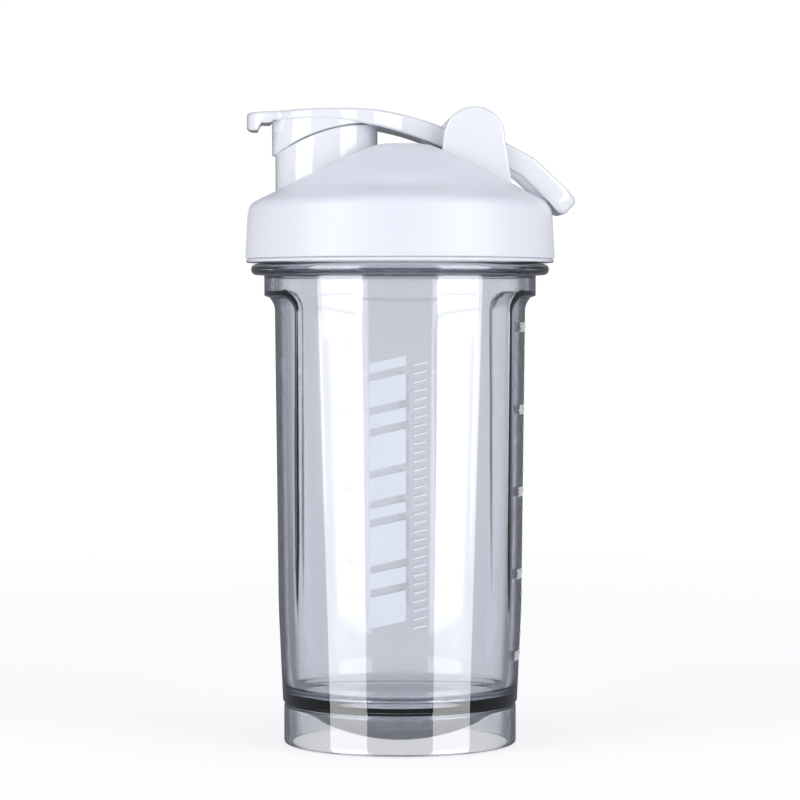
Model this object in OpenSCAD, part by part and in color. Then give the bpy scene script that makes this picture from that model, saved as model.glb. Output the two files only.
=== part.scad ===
// Shaker bottle: clear jar, screw lid with a drinking spout, flip cap and carry loop.
// The jar's axis is Z and its foot stands on z = 0. The spout is on -X, the cap's hinge on +X.

/* [Jar] */
// How far the foot ring stands in from the body's lower end
foot_step = 0.4; // [0:0.1:1.5]
// Height of the foot ring, up to where the body's wall begins
foot_h = 13.3; // [11:0.1:16]
// Thickness of the foot ring's wall
foot_wall = 2.2; // [1.5:0.1:3.5]
// Outer radius of the body just above the foot
body_low_r = 37.4; // [33:0.1:43]
// Outer radius of the body at its top, under the flange
body_top_r = 43.2; // [39:0.1:52]
// Height of the top of the grip recesses and of the tapered body
body_top_z = 142.2; // [115:0.1:175]
// Thickness of the jar's wall
jar_wall = 3; // [2:0.1:4]
// Thickness of the bowl-shaped floor
floor_wall = 3.3; // [2.4:0.1:4.5]
// Height of the floor bowl's lowest point above the table
floor_lift = 0.9; // [0.5:0.1:3]
// Radius of the moulding gate's mark in the middle of the floor
gate_r = 3.2; // [1:0.1:6]

/* [Grip recesses] */
// Half width of each grip recess
grip_half_w = 27; // [15:0.5:32]
// Depth of a grip recess at its top
grip_depth = 3.3; // [1:0.1:5]
// Height at which a grip recess has faded out to nothing
grip_low_z = 43; // [25:1:80]
// Corner radius at the top of a grip recess
grip_corner_r = 6; // [3:0.5:12]

/* [Measuring marks] */
// Height of the lowest measuring mark
mark_low_z = 28.4; // [20:0.1:40]
// Height between measuring marks
mark_step = 26; // [15:0.1:35]
// Length of a measuring mark round the jar, in degrees
mark_arc = 7; // [3:0.5:12]
// Angle of the measuring marks from the hinge's side towards the front
mark_turn = 12; // [0:1:25]

/* [Neck and thread] */
// Height of the straight collar between the body and the flange
collar_h = 6.6; // [4:0.1:10]
// Thickness of the flange that the lid comes down to
flange_h = 3.5; // [2.5:0.1:6]
// How far the flange stands in from the lid's lower edge
flange_inset = 1.9; // [1:0.1:4]
// How far the neck stands out from the body's top
neck_step = 1.1; // [0.5:0.05:2]
// Thickness of the neck's wall
neck_wall = 3.7; // [2.5:0.05:4.5]
// Height of the neck above the flange
neck_h = 16.7; // [14:0.1:22]
// Rise of the thread in one turn
thread_lead = 6; // [5:0.25:8]
// Turns of thread on the neck and in the lid
thread_turns = 1.25; // [1:0.25:1.5]
// How far a thread ridge stands out
thread_h = 1.4; // [0.8:0.1:1.8]
// Width of a thread ridge at its root
thread_w = 2.4; // [1.6:0.1:2.6]
// Gap between the turned neck and the lid, all round
thread_gap = 0.35; // [0.25:0.05:0.5]

/* [Lid] */
// How much the lid's skirt tapers in from its lower edge to its shoulder
lid_taper = 1; // [0.4:0.1:2]
// Height of the shoulder above the shelf that seals on the jar's rim
shoulder_lift = 0.6; // [0.3:0.1:3]
// Height of the lid's flat crown above its shoulder
crown_h = 18.3; // [14:0.1:24]
// Half length of the flat crown between spout and hinge
crown_half_l = 8; // [5:0.5:14]
// Slope of the lid's front and back, in degrees
front_slope = 35; // [32:1:42]
// Radius of the rounded shoulder
shoulder_r = 2.8; // [1.5:0.1:3.5]
// Thickness of the soft outer shell
shell_t = 1.4; // [1:0.1:1.8]
// Thickness of the hard core
core_t = 1.8; // [1.4:0.1:2.4]
// Height of the hard core's rim that shows below the soft shell
rim_h = 1.3; // [0.8:0.1:2.5]
// Gap of the bond between shell and core
bond_gap = 0.05; // [0.02:0.01:0.1]
// Gap left between parts that move past each other
run_gap = 0.35; // [0.25:0.05:0.5]

/* [Spout] */
// How far the spout stands in from the lid's shoulder
spout_inset = 8.7; // [5:0.1:12]
// Radius of the hole that is drunk from
spout_bore_r = 12.8; // [10:0.1:13.5]
// Wall of the spout's lip
lip_wall = 2.4; // [1.4:0.1:2.6]
// Width of the ledge round the lip, which the cap's skirt comes down to
spout_ledge = 1; // [0.6:0.1:2]
// Height of the spout's lip above the lid's crown
lip_h = 7; // [5:0.1:9]

/* [Hinge] */
// How far the hinge pin stands in from the lid's shoulder
pivot_inset = 25.9; // [22:0.1:30]
// Height of the hinge pin above the lid's crown
pivot_h = 2.1; // [1.5:0.1:5]
// Radius of the hinge pin
pin_r = 2; // [1.5:0.1:2.5]
// Gap round the hinge pin where parts turn on it
pin_gap = 0.06; // [0.03:0.01:0.09]
// Radius of the ears' round tops
ear_r = 9.6; // [8:0.1:11]
// Thickness of each ear
ear_t = 3.2; // [2.4:0.1:4]
// How much an ear's foot widens towards the spout
ear_flare_in = 0.9; // [0:0.1:3]
// How much an ear's foot widens towards the shoulder
ear_flare_out = 2.4; // [0:0.1:4]
// Distance from the middle of the lid to an ear's outer face
ear_out_y = 18.4; // [16:0.1:20]

/* [Flip cap] */
// Thickness of the cap over the spout
cap_t = 3.8; // [3:0.1:5]
// Wall of the cap's skirt round the spout
cap_skirt_wall = 1.6; // [1.2:0.1:2]
// How far the thumb tab reaches past the skirt
tab_l = 8; // [5:0.5:12]
// Half width of the thumb tab
tab_half_w = 10; // [7:0.5:13]
// Depth of the lip under the thumb tab's end
tab_lip = 2.2; // [1:0.1:4]
// Height of the arm's top above the pin, where the arm meets its knuckle
arm_top_h = 2.35; // [1:0.05:4]
// Depth of the arm's underside below the pin, where the arm meets its knuckle
arm_low_h = 4.8; // [2.5:0.1:5]
// Radius of the knuckle on the hinge pin
knuckle_r = 5.2; // [4:0.1:5.5]
// Depth of the soft plug in the spout
plug_depth = 3.6; // [2:0.1:5]

/* [Carry loop] */
// Depth of the loop's legs, as seen from the side
leg_depth = 6.8; // [5:0.1:8]
// Thickness of the loop's legs
leg_t = 3; // [2.4:0.1:4]
// Length of a leg from the pin to its bend
leg_l = 19.6; // [14:0.2:26]
// Slope of a leg before its bend, in degrees below level
leg_slope = 28; // [20:1:34]
// How far the loop's end reaches out past the lid's shoulder
loop_over = 5.1; // [3:0.1:12]
// Depth to which the loop is relieved where it lies against the shoulder
loop_bite = 0.95; // [0:0.05:1.5]
// Width of the bar that joins the legs
loop_bar = 7; // [5:0.1:9]

/* [Mixing grid] */
// Height of the grid's ring
grid_h = 7; // [5:0.1:9]
// Wall of the grid's ring
grid_ring_wall = 2; // [1.4:0.1:3]
// Distance between the grid's bars
grid_pitch = 9; // [7:0.5:14]
// Width of a grid bar
grid_bar = 1.8; // [1.2:0.1:2.5]

/* [Hidden] */
$fn = 96;

// Heights up the jar
collar_top_z = body_top_z + collar_h;
flange_top_z = collar_top_z + flange_h;
rim_z = flange_top_z + neck_h;
shelf_z = rim_z + 1.8;
lid_low_z = flange_top_z + 0.4;
shoulder_z = shelf_z + shoulder_lift;
crown_z = shoulder_z + crown_h;
pivot_z = crown_z + pivot_h;
lip_z = crown_z + lip_h;

// Radii at the thread, worked outwards from the jar's body
foot_r = body_low_r - foot_step;
neck_r = body_top_r + neck_step;
mouth_r = neck_r - neck_wall;
lid_bore_r = neck_r + thread_h + thread_gap;
core_out_r = lid_bore_r + core_t;
lid_low_r = core_out_r + bond_gap + shell_t;
lid_top_r = lid_low_r - lid_taper;
flange_r = lid_low_r - flange_inset;
thread_z = flange_top_z + 4;

// The lid's ridge lies this far below the neck's, so that their flanks stand run_gap apart
thread_drop = 0.75 * thread_w - 0.25 * thread_w * thread_gap / thread_h + run_gap + 0.05;

// Floor bowl: a ball's cap whose edge meets the foot ring's inside at the foot's top
bowl_edge_r = foot_r - foot_wall + 0.8;
bowl_sink = foot_h - floor_lift;
bowl_r = (pow(bowl_edge_r, 2) + pow(bowl_sink, 2)) / (2 * bowl_sink);
bowl_z = floor_lift + bowl_r;

// Grip recess: a cone that meets the body's taper at grip_low_z
body_taper = (body_top_r - body_low_r) / (body_top_z - foot_h);
grip_low_r = body_low_r + body_taper * (grip_low_z - foot_h);
grip_top_r = body_top_r - grip_depth;

// Lid form: the side slopes run from the shoulder up to the flat crown
side_k = crown_h / (lid_top_r - crown_half_l);
front_k = tan(front_slope);
gasket_t = shelf_z - rim_z - 0.2;
plug_ring_out_r = mouth_r - 1.8;
plug_ring_in_r = plug_ring_out_r - 1.6;
plug_ring_z = shelf_z - 7.5;

// Spout and hinge stand at fixed distances inside the lid's shoulder
lip_out_r = spout_bore_r + lip_wall;
spout_r = lip_out_r + spout_ledge;
spout_x = lid_top_r - spout_inset - spout_r;
pivot_x = lid_top_r - pivot_inset;

// Seam between cap skirt and spout: an arc seen from the side
seam_r = 58;
seam_x = -spout_x + spout_r - 0.8;
seam_z = lip_z - 0.2 - seam_r;
cap_skirt_in_r = lip_out_r + run_gap + 0.1;
cap_skirt_out_r = cap_skirt_in_r + cap_skirt_wall;

// Flip cap seen from the side
cap_low_z = lip_z + 0.8;
cap_top_z = cap_low_z + cap_t;
arm_end_x = pivot_x - 6;
arm_top_x = 7.4 - spout_x;
arm_low_x = -4.6 - spout_x;
arm_top_arc_r = arc_radius(arm_end_x - arm_top_x, cap_top_z - pivot_z - arm_top_h);
arm_low_arc_r = arc_radius(arm_end_x - arm_low_x, cap_low_z - pivot_z + arm_low_h);
tab_x = -spout_x - cap_skirt_out_r - tab_l;
leg_in_y = ear_out_y - ear_t - run_gap - leg_t;
arm_half_w = leg_in_y - run_gap;

// Carry loop, seen from the side with the pin at the origin: past its bend it lies along the shoulder
bend = [leg_l * cos(leg_slope), -leg_l * sin(leg_slope)];
round_x = lid_top_r - shoulder_r;
round_z = front_z(round_x, 0) - shoulder_r / cos(front_slope);
to_round = [round_x - pivot_x, round_z - pivot_z] - bend;
tip_slope = atan2(-to_round[1], to_round[0])
    - asin((shoulder_r + leg_depth / 2 - loop_bite) / norm(to_round));
tip_l = (lid_top_r + loop_over - pivot_x - bend[0]) / cos(tip_slope);
tip = bend + tip_l * [cos(tip_slope), -sin(tip_slope)];
loop_half_w = leg_in_y + leg_t;
loop_reach = leg_l * cos(tip_slope - leg_slope) + tip_l;

// Mixing grid, snapped into the lid's inner ring by a bead in a groove
grid_r = plug_ring_in_r - 0.1;
grid_low_z = plug_ring_z - 3;
half_bars = floor(grid_r / grid_pitch - 0.5);
snap_z = plug_ring_z + 2;
snap_r = 0.5;

// Measuring marks, as many as the body has room for
mark_count = floor((body_top_z - 6 - mark_low_z) / mark_step) + 1;

// Radius of an arc that starts level and drops by h over a length l
function arc_radius(l, h) = (l * l + h * h) / (2 * h);

// Points on an arc from angle a to angle b, measured from +X
function arc(c, r, a, b, n = 6) =
    [for (i = [0:n]) c + r * [cos(a + (b - a) * i / n), sin(a + (b - a) * i / n)]];

// Height of the side slope and of the front slope, sunk square to the surface
function side_z(x, sink) = shoulder_z + side_k * (lid_top_r - x) - sink * sqrt(1 + side_k * side_k);
function front_z(r, sink) = shoulder_z + front_k * (lid_top_r - r) - sink * sqrt(1 + front_k * front_k);

// Radius of the lid's tapered skirt at height z
function skirt_r(z, sink) = lid_low_r - sink - (lid_low_r - lid_top_r) * (z - lid_low_z) / (shoulder_z - lid_low_z);

// Drawn in X and Z, and as thick as half_w each way along Y
module from_side(half_w) {
    translate([0, half_w, 0])
        rotate([90, 0, 0])
            linear_extrude(2 * half_w)
                children();
}

// A round bar along Y at x, z
module cross_cylinder(x, z, r, y0, y1) {
    translate([x, y1, z])
        rotate([90, 0, 0])
            cylinder(r = r, h = y1 - y0);
}

// One ridge of screw thread. out = 1 stands out from root_r, out = -1 stands in.
module thread(root_r, z, out) {
    steps = round(thread_turns * 40);
    ramp = 4;
    sunk = 0.5;
    function grow(i) = max(0.1, min(1, i / ramp, (steps - i) / ramp));
    function ring(i) = let (a = i * 9, zc = z + thread_lead * i / 40, g = grow(i))
        [for (p = [[-sunk, -thread_w / 2], [thread_h * g, -thread_w / 4],
                   [thread_h * g, thread_w / 4], [-sunk, thread_w / 2]])
            let (r = root_r + out * p[0]) [r * cos(a), r * sin(a), zc + p[1]]];
    points = [for (i = [0:steps]) each ring(i)];
    flip = out < 0;
    sides = [for (i = [0:steps - 1]) for (k = [0:3])
        let (a = 4 * i + k, b = 4 * i + (k + 1) % 4)
            each flip ? [[a, a + 4, b], [b, a + 4, b + 4]] : [[a, b, a + 4], [b, b + 4, a + 4]]];
    last = 4 * steps;
    ends = flip ? [[0, 1, 2, 3], [last + 3, last + 2, last + 1, last]]
                : [[3, 2, 1, 0], [last, last + 1, last + 2, last + 3]];
    polyhedron(points, concat(sides, ends));
}

// The body's taper down to radius grow less than its outside
module taper(low_r, top_r, z0, z1) {
    translate([0, 0, z0])
        cylinder(r1 = low_r, r2 = top_r, h = z1 - z0);
}

// A slab with rounded top corners that cuts both grips, standing to height top
module grip_slab(half_w, low, top, corner) {
    rotate([90, 0, 90])
        linear_extrude(200, center = true) {
            translate([-half_w, low]) square([2 * half_w, top - corner - low]);
            translate([corner - half_w, low]) square([2 * (half_w - corner), top - low]);
            for (s = [-1, 1])
                translate([s * (half_w - corner), top - corner]) circle(corner);
        }
}

module jar_outside() {
    cylinder(r = foot_r, h = foot_h);
    taper(body_low_r, body_top_r, foot_h, body_top_z);
    translate([0, 0, body_top_z]) cylinder(r = body_top_r, h = collar_h);
    // The flange has a full round edge
    rotate_extrude() {
        translate([0, collar_top_z]) square([flange_r - flange_h / 2, flange_h]);
        translate([flange_r - flange_h / 2, collar_top_z + flange_h / 2]) circle(d = flange_h);
    }
    translate([0, 0, flange_top_z - 0.5]) cylinder(r = neck_r, h = neck_h + 0.5);
}

// The hollow of the jar, with the grips' backs standing in from its wall
module jar_inside() {
    low_in_r = body_low_r - jar_wall - foot_h * body_taper;
    difference() {
        intersection() {
            union() {
                taper(low_in_r, body_top_r - jar_wall, 0, body_top_z);
                translate([0, 0, body_top_z - 0.01]) cylinder(r = body_top_r - jar_wall, h = collar_h + 0.02);
                taper(body_top_r - jar_wall, mouth_r, collar_top_z, flange_top_z);
                translate([0, 0, flange_top_z - 0.01]) cylinder(r = mouth_r, h = neck_h + 2);
            }
            union() {
                translate([0, 0, bowl_z]) sphere(bowl_r - floor_wall, $fn = 128);
                translate([0, 0, bowl_z]) cylinder(r = 100, h = 200);
            }
        }
        difference() {
            grip_slab(grip_half_w + jar_wall - 1, grip_low_z - 12, body_top_z + jar_wall - 1, grip_corner_r + 2);
            taper(grip_low_r - jar_wall, grip_top_r - jar_wall, grip_low_z, body_top_z + 3);
            cylinder(r = grip_low_r - jar_wall, h = grip_low_z);
        }
    }
}

module jar() {
    color([0.78, 0.80, 0.84, 0.45])
    union() {
        difference() {
            jar_outside();
            jar_inside();
            // Hollow between the foot ring and the floor bowl
            difference() {
                translate([0, 0, -1]) cylinder(r = foot_r - foot_wall, h = foot_h + 1);
                translate([0, 0, bowl_z]) sphere(bowl_r, $fn = 128);
            }
            difference() {
                grip_slab(grip_half_w, grip_low_z - 10, body_top_z, grip_corner_r);
                taper(grip_low_r, grip_top_r, grip_low_z, body_top_z + 1);
                cylinder(r = grip_low_r, h = grip_low_z + 0.01);
            }
        }
        thread(neck_r, thread_z, 1);
        translate([0, 0, bowl_z - bowl_r + floor_wall - 0.6]) cylinder(r = gate_r, h = 1);
        marks();
    }
}

// Raised marks, moulded on the grip by the hinge and on the body below it
module marks() {
    grip_taper = (grip_top_r - grip_low_r) / (body_top_z - grip_low_z);
    for (i = [0:mark_count - 1]) {
        z = mark_low_z + i * mark_step;
        body_r = body_low_r + body_taper * (z - foot_h);
        r = z > grip_low_z ? grip_low_r + grip_taper * (z - grip_low_z) : body_r;
        rotate([0, 0, -mark_turn - mark_arc / 2])
            rotate_extrude(angle = mark_arc)
                translate([r - 0.8, z - 0.4]) square([1.1, 0.8]);
    }
}

// The lid's rounded form, sunk by sink: a turned form cut by a long form with side slopes
module lid_form(sink, low_z, corner) {
    r_top = lid_top_r - sink;
    c = [r_top - corner, front_z(r_top - corner, sink) - corner / cos(front_slope)];
    crown = crown_z - sink;
    crown_x = lid_top_r - (crown - shoulder_z + sink * sqrt(1 + side_k * side_k)) / side_k;
    intersection() {
        rotate_extrude()
            polygon(concat([[0, low_z], [skirt_r(low_z, sink), low_z]], arc(c, corner, 0, 90 - front_slope),
                           [[0, front_z(0, sink)]]));
        from_side(100)
            polygon([[-100, low_z - 1], [100, low_z - 1], [100, side_z(100, sink)], [crown_x, crown],
                     [-crown_x, crown], [-100, side_z(100, sink)]]);
    }
}

module spout_outside(grow) {
    intersection() {
        translate([-spout_x, 0, shoulder_z]) cylinder(r = spout_r + grow, h = 40);
        cross_cylinder(seam_x, seam_z, seam_r - run_gap + grow, -40, 40);
    }
    translate([-spout_x, 0, shoulder_z]) cylinder(r = lip_out_r + grow, h = lip_z - shoulder_z);
}

// One ear, seen from the side: a round top on a foot that widens towards the shoulder
module ear_outline(grow) {
    r = ear_r + grow;
    translate([pivot_x, pivot_z]) circle(r);
    polygon([[pivot_x - r, pivot_z], [pivot_x - r - ear_flare_in, shoulder_z],
             [pivot_x + r + ear_flare_out, shoulder_z], [pivot_x + r, pivot_z]]);
}

module ears(grow) {
    for (s = [-1, 1])
        translate([0, s * (ear_out_y - ear_t / 2), 0])
            from_side(ear_t / 2 + grow) ear_outline(grow);
}

module lid_core() {
    sink = shell_t + bond_gap;
    color([0.93, 0.94, 0.97])
    difference() {
        union() {
            difference() {
                union() {
                    lid_form(sink, lid_low_z + rim_h, shoulder_r - sink);
                    // Rim below the soft shell, with a bevelled lower edge
                    taper(lid_low_r - 0.9, lid_low_r - 0.3, lid_low_z, lid_low_z + 0.6);
                    translate([0, 0, lid_low_z + 0.6]) cylinder(r = lid_low_r - 0.3, h = rim_h - 0.6 - bond_gap);
                    translate([0, 0, lid_low_z + rim_h - 0.5]) cylinder(r = core_out_r - 0.2, h = 1);
                }
                // Socket for the neck
                translate([0, 0, lid_low_z - 1]) cylinder(r = lid_bore_r, h = shelf_z - lid_low_z + 1);
                // Hollow under the crown
                intersection() {
                    lid_form(sink + core_t, shelf_z - 4, 0.5);
                    cylinder(r = plug_ring_in_r, h = 400);
                }
            }
            intersection() {
                union() {
                    spout_outside(0);
                    ears(0);
                }
                lid_above();
            }
            // Ring that reaches into the mouth and holds the mixing grid
            difference() {
                translate([0, 0, plug_ring_z]) cylinder(r = plug_ring_out_r, h = shelf_z - plug_ring_z + 0.5);
                translate([0, 0, plug_ring_z - 1]) cylinder(r = plug_ring_in_r, h = 20);
                rotate_extrude()
                    translate([grid_r, snap_z]) circle(snap_r + 0.1);
            }
            thread(lid_bore_r, thread_z - thread_drop, -1);
        }
        translate([-spout_x, 0, shelf_z - 5]) cylinder(r = spout_bore_r, h = 60);
        // Pin hole: through the rear ear, blind in the front ear
        cross_cylinder(pivot_x, pivot_z, pin_r, -ear_out_y + 1.4, ear_out_y + 1);
    }
}

// Everything above the hard core's middle, so that spout and ears join it from outside
module lid_above() {
    difference() {
        cylinder(r = 100, h = 400);
        lid_form(shell_t + bond_gap + core_t - 0.3, shelf_z - 4, 0.5);
    }
}

module lid_shell() {
    color([0.90, 0.91, 0.96])
    difference() {
        lid_form(0, lid_low_z + rim_h, shoulder_r);
        lid_form(shell_t, lid_low_z + rim_h - 1, shoulder_r - shell_t);
        spout_outside(bond_gap);
        ears(bond_gap);
        translate([-spout_x, 0, shelf_z]) cylinder(r = spout_r, h = 40);
    }
}

module lid_gasket() {
    color([0.80, 0.82, 0.86])
    translate([0, 0, rim_z + 0.1])
        difference() {
            cylinder(r = neck_r - 0.4, h = gasket_t);
            translate([0, 0, -1]) cylinder(r = plug_ring_out_r + run_gap, h = gasket_t + 2);
        }
}

module mixing_grid() {
    color([0.86, 0.88, 0.92])
    union() {
        translate([0, 0, grid_low_z])
            linear_extrude(grid_h)
                difference() {
                    circle(grid_r);
                    circle(grid_r - grid_ring_wall);
                }
        rotate_extrude()
            translate([grid_r - 0.1, snap_z]) circle(snap_r);
        translate([0, 0, grid_low_z])
            linear_extrude(2.2)
                intersection() {
                    circle(grid_r - 0.5);
                    for (i = [-half_bars - 0.5:half_bars + 0.5]) {
                        translate([-grid_r, i * grid_pitch - grid_bar / 2]) square([2 * grid_r, grid_bar]);
                        translate([i * grid_pitch - grid_bar / 2, -grid_r]) square([grid_bar, 2 * grid_r]);
                    }
                }
    }
}

// The cap's arm seen from the side: two arcs from the thumb tab to the knuckle
module arm_side() {
    top_c = [arm_top_x, cap_top_z - arm_top_arc_r];
    low_c = [arm_low_x, cap_low_z - arm_low_arc_r];
    top_a = acos((arm_end_x - arm_top_x) / arm_top_arc_r);
    low_a = acos((arm_end_x - arm_low_x) / arm_low_arc_r);
    low_start_a = acos((-spout_x - arm_low_x) / arm_low_arc_r);
    round_r = 1.6;
    polygon(concat(
        arc([tab_x + round_r, cap_top_z - 1 - round_r], round_r, 180, 95),
        arc(top_c, arm_top_arc_r, 90, top_a, 12),
        [[arm_end_x + 3, pivot_z + knuckle_r - 1.2], [arm_end_x + 3, pivot_z - knuckle_r + 1.2]],
        arc(low_c, arm_low_arc_r, low_a, low_start_a, 12),
        [[tab_x, cap_low_z]]));
}

// The cap seen from above: a round head, a thumb tab and an arm that narrows to the hinge
module cap_plan() {
    translate([-spout_x, 0]) circle(cap_skirt_out_r);
    corner = 0.7 * tab_half_w;
    translate([tab_x + corner, -tab_half_w]) square([2 * corner, 2 * tab_half_w]);
    translate([tab_x, corner - tab_half_w]) square([2 * corner, 2 * (tab_half_w - corner)]);
    for (s = [-1, 1])
        translate([tab_x + corner, s * (tab_half_w - corner)]) circle(corner);
    // The arm leaves the head at its full width and narrows towards the pin
    wide = cap_skirt_out_r - 1.3;
    wide_x = 14.4 - spout_x;
    narrow_x = pivot_x - 22.4;
    polygon([[-spout_x, -wide], [wide_x, 0.5 - wide], [narrow_x, -arm_half_w], [pivot_x, -arm_half_w],
             [pivot_x, arm_half_w], [narrow_x, arm_half_w], [wide_x, wide - 0.5], [-spout_x, wide]]);
}

module flip_cap() {
    color([0.94, 0.95, 0.98])
    difference() {
        union() {
            difference() {
                union() {
                    intersection() {
                        from_side(40) arm_side();
                        translate([0, 0, crown_z]) linear_extrude(40) cap_plan();
                    }
                    // Skirt round the spout's lip, cut off along the seam
                    difference() {
                        translate([-spout_x, 0, shoulder_z])
                            cylinder(r = cap_skirt_out_r, h = cap_low_z + 1 - shoulder_z);
                        cross_cylinder(seam_x, seam_z, seam_r, -40, 40);
                    }
                }
                // Room for the spout's lip and body
                translate([-spout_x, 0, shoulder_z]) cylinder(r = cap_skirt_in_r, h = cap_low_z - shoulder_z);
                spout_outside(run_gap);
            }
            // Lip under the thumb tab's end
            intersection() {
                translate([0, 0, cap_low_z - tab_lip]) linear_extrude(tab_lip + 1) cap_plan();
                translate([tab_x, -40, 0]) cube([2.2, 80, 400]);
            }
            cross_cylinder(pivot_x, pivot_z, knuckle_r, -arm_half_w, arm_half_w);
            // Ring that holds the soft plug
            translate([-spout_x, 0, cap_low_z - 1.2]) cylinder(r = spout_bore_r - 4, h = 2);
        }
        cross_cylinder(pivot_x, pivot_z, pin_r + pin_gap, -40, 40);
    }
}

module spout_seal() {
    color([0.75, 0.78, 0.84])
    translate([-spout_x, 0, cap_low_z])
        rotate([180, 0, 0])
            difference() {
                union() {
                    cylinder(r = lip_out_r - 0.4, h = 0.7);
                    cylinder(r1 = spout_bore_r - 0.4, r2 = spout_bore_r - 1.4, h = plug_depth + 0.8);
                }
                translate([0, 0, -1]) cylinder(r = spout_bore_r - 3.9, h = plug_depth + 3);
            }
}

// A straight bar in a drawing, from p to q
module bar(p, q, w) {
    d = q - p;
    translate(p)
        rotate(atan2(d[1], d[0]))
            translate([0, -w / 2]) square([norm(d), w]);
}

// The carry loop seen from the side, with the pin at the origin
module loop_side() {
    end_r = 2;
    u = [cos(tip_slope), -sin(tip_slope)];
    v = [u[1], -u[0]];
    circle(knuckle_r);
    bar([0, 0], bend, leg_depth);
    translate(bend) circle(leg_depth / 2);
    bar(bend, tip - end_r * u, leg_depth);
    bar(tip - 2 * end_r * u, tip, leg_depth - 2 * end_r);
    for (s = [-1, 1])
        translate(tip - end_r * u + s * (leg_depth / 2 - end_r) * v) circle(end_r);
}

// The carry loop seen square to its end part: a U with rounded corners
module loop_plan() {
    corner = 6;
    inner = corner - leg_t + 1;
    difference() {
        union() {
            translate([-20, -loop_half_w]) square([20 + loop_reach - corner, 2 * loop_half_w]);
            translate([0, corner - loop_half_w]) square([loop_reach, 2 * (loop_half_w - corner)]);
            for (s = [-1, 1])
                translate([loop_reach - corner, s * (loop_half_w - corner)]) circle(corner);
        }
        translate([-30, -leg_in_y]) square([30 + loop_reach - loop_bar - inner, 2 * leg_in_y]);
        translate([0, inner - leg_in_y]) square([loop_reach - loop_bar, 2 * (leg_in_y - inner)]);
        for (s = [-1, 1])
            translate([loop_reach - loop_bar - inner, s * (leg_in_y - inner)]) circle(inner);
    }
}

module carry_loop() {
    color([0.94, 0.95, 0.98])
    difference() {
        translate([pivot_x, 0, pivot_z])
            intersection() {
                from_side(40) loop_side();
                rotate([0, tip_slope, 0])
                    linear_extrude(80, center = true) loop_plan();
            }
        // Relief where the loop lies against the lid's shoulder
        lid_form(-run_gap, lid_low_z, shoulder_r + run_gap);
        cross_cylinder(pivot_x, pivot_z, pin_r + pin_gap, -40, 40);
    }
}

module hinge_pin() {
    color([0.85, 0.87, 0.90])
    cross_cylinder(pivot_x, pivot_z, pin_r, -ear_out_y + 1.6, ear_out_y - 0.6);
}

jar();
mixing_grid();
lid_gasket();
lid_core();
lid_shell();
flip_cap();
spout_seal();
carry_loop();
hinge_pin();
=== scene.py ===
import math

import bmesh
import bpy
import numpy as np
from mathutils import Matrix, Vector


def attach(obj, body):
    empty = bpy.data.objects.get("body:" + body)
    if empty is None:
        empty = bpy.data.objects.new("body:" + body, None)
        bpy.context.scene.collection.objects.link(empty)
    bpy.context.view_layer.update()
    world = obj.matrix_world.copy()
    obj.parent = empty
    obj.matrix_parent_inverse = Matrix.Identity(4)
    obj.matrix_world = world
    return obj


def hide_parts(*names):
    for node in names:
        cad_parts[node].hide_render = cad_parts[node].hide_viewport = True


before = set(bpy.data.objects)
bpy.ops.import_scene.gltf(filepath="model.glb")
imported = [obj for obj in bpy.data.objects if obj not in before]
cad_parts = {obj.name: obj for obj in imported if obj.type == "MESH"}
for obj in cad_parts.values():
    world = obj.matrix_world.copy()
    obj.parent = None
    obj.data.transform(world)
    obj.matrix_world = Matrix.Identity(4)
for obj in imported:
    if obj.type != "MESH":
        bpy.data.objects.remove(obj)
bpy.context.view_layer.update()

# Shapes are worked out in millimetres, and closed_mesh() turns them into metres. Z is up, the spout is on -X
# and the hinge on +X.

# ---------------------------------------------------------------- Room
# A pale floor under a white room, with one tall soft light on each side of the bottle,
# as a maker's studio has them, and a weak one overhead.

EYE, LOOKS_AT = (-0.0510, -0.9737, 0.137), (0.0, 0.0, 0.109)
SIDE_LIGHT_AWAY, SIDE_LIGHT_BEARING = 1.5, 52
WALL_TINT = (0.86, 0.89, 1.0, 1)
FLOOR_R, FLOOR_Z = 6.0, -0.0003


def aimed(obj, place, target):
    """Puts a camera or a lamp at a place and turns it to look at a target."""
    obj.location = place
    obj.rotation_euler = Vector(np.subtract(target, place)).to_track_quat("-Z", "Y").to_euler()
    bpy.context.scene.collection.objects.link(obj)
    return obj


camera_data = bpy.data.cameras.new("camera")
camera_data.lens = 137.6
camera_data.sensor_width = 36
camera_data.clip_start = 0.01
bpy.context.scene.camera = aimed(bpy.data.objects.new("camera", camera_data), EYE, LOOKS_AT)
bpy.context.scene.view_settings.view_transform = "Standard"


def soft_light(name, place, target, width, height, watts):
    """A rectangular soft light of that width and height in metres."""
    data = bpy.data.lights.new(name, "AREA")
    data.shape = "RECTANGLE"
    data.size = width
    data.size_y = height
    data.energy = watts
    return aimed(bpy.data.objects.new(name, data), place, target)


for side, name in ((-1, "soft_light_left"), (1, "soft_light_right")):
    bearing = math.radians(SIDE_LIGHT_BEARING * side - 3)
    place = (SIDE_LIGHT_AWAY * math.sin(bearing), -SIDE_LIGHT_AWAY * math.cos(bearing), 0.35)
    soft_light(name, place, (0, 0, 0.12), 1.15, 2.1, 17)
soft_light("soft_light_top", (0, 0.1, 1.9), (0, 0, 0.1), 1.2, 1.2, 1.5)


def add_node(tree, kind, *inputs, **values):
    """A new node in a tree. The inputs go to its first sockets in order, and a value named like a socket goes
    to that socket, as a link when it is another node's output. Other values are the node's own settings."""
    node = tree.nodes.new(kind)
    given = list(zip(node.inputs, inputs))
    for name, value in values.items():
        socket = node.inputs.get(name.replace("_", " "))
        if socket is None:
            setattr(node, name, value)
        else:
            given.append((socket, value))
    for socket, value in given:
        if isinstance(value, bpy.types.NodeSocket):
            tree.links.new(value, socket)
        else:
            socket.default_value = value
    return node


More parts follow.
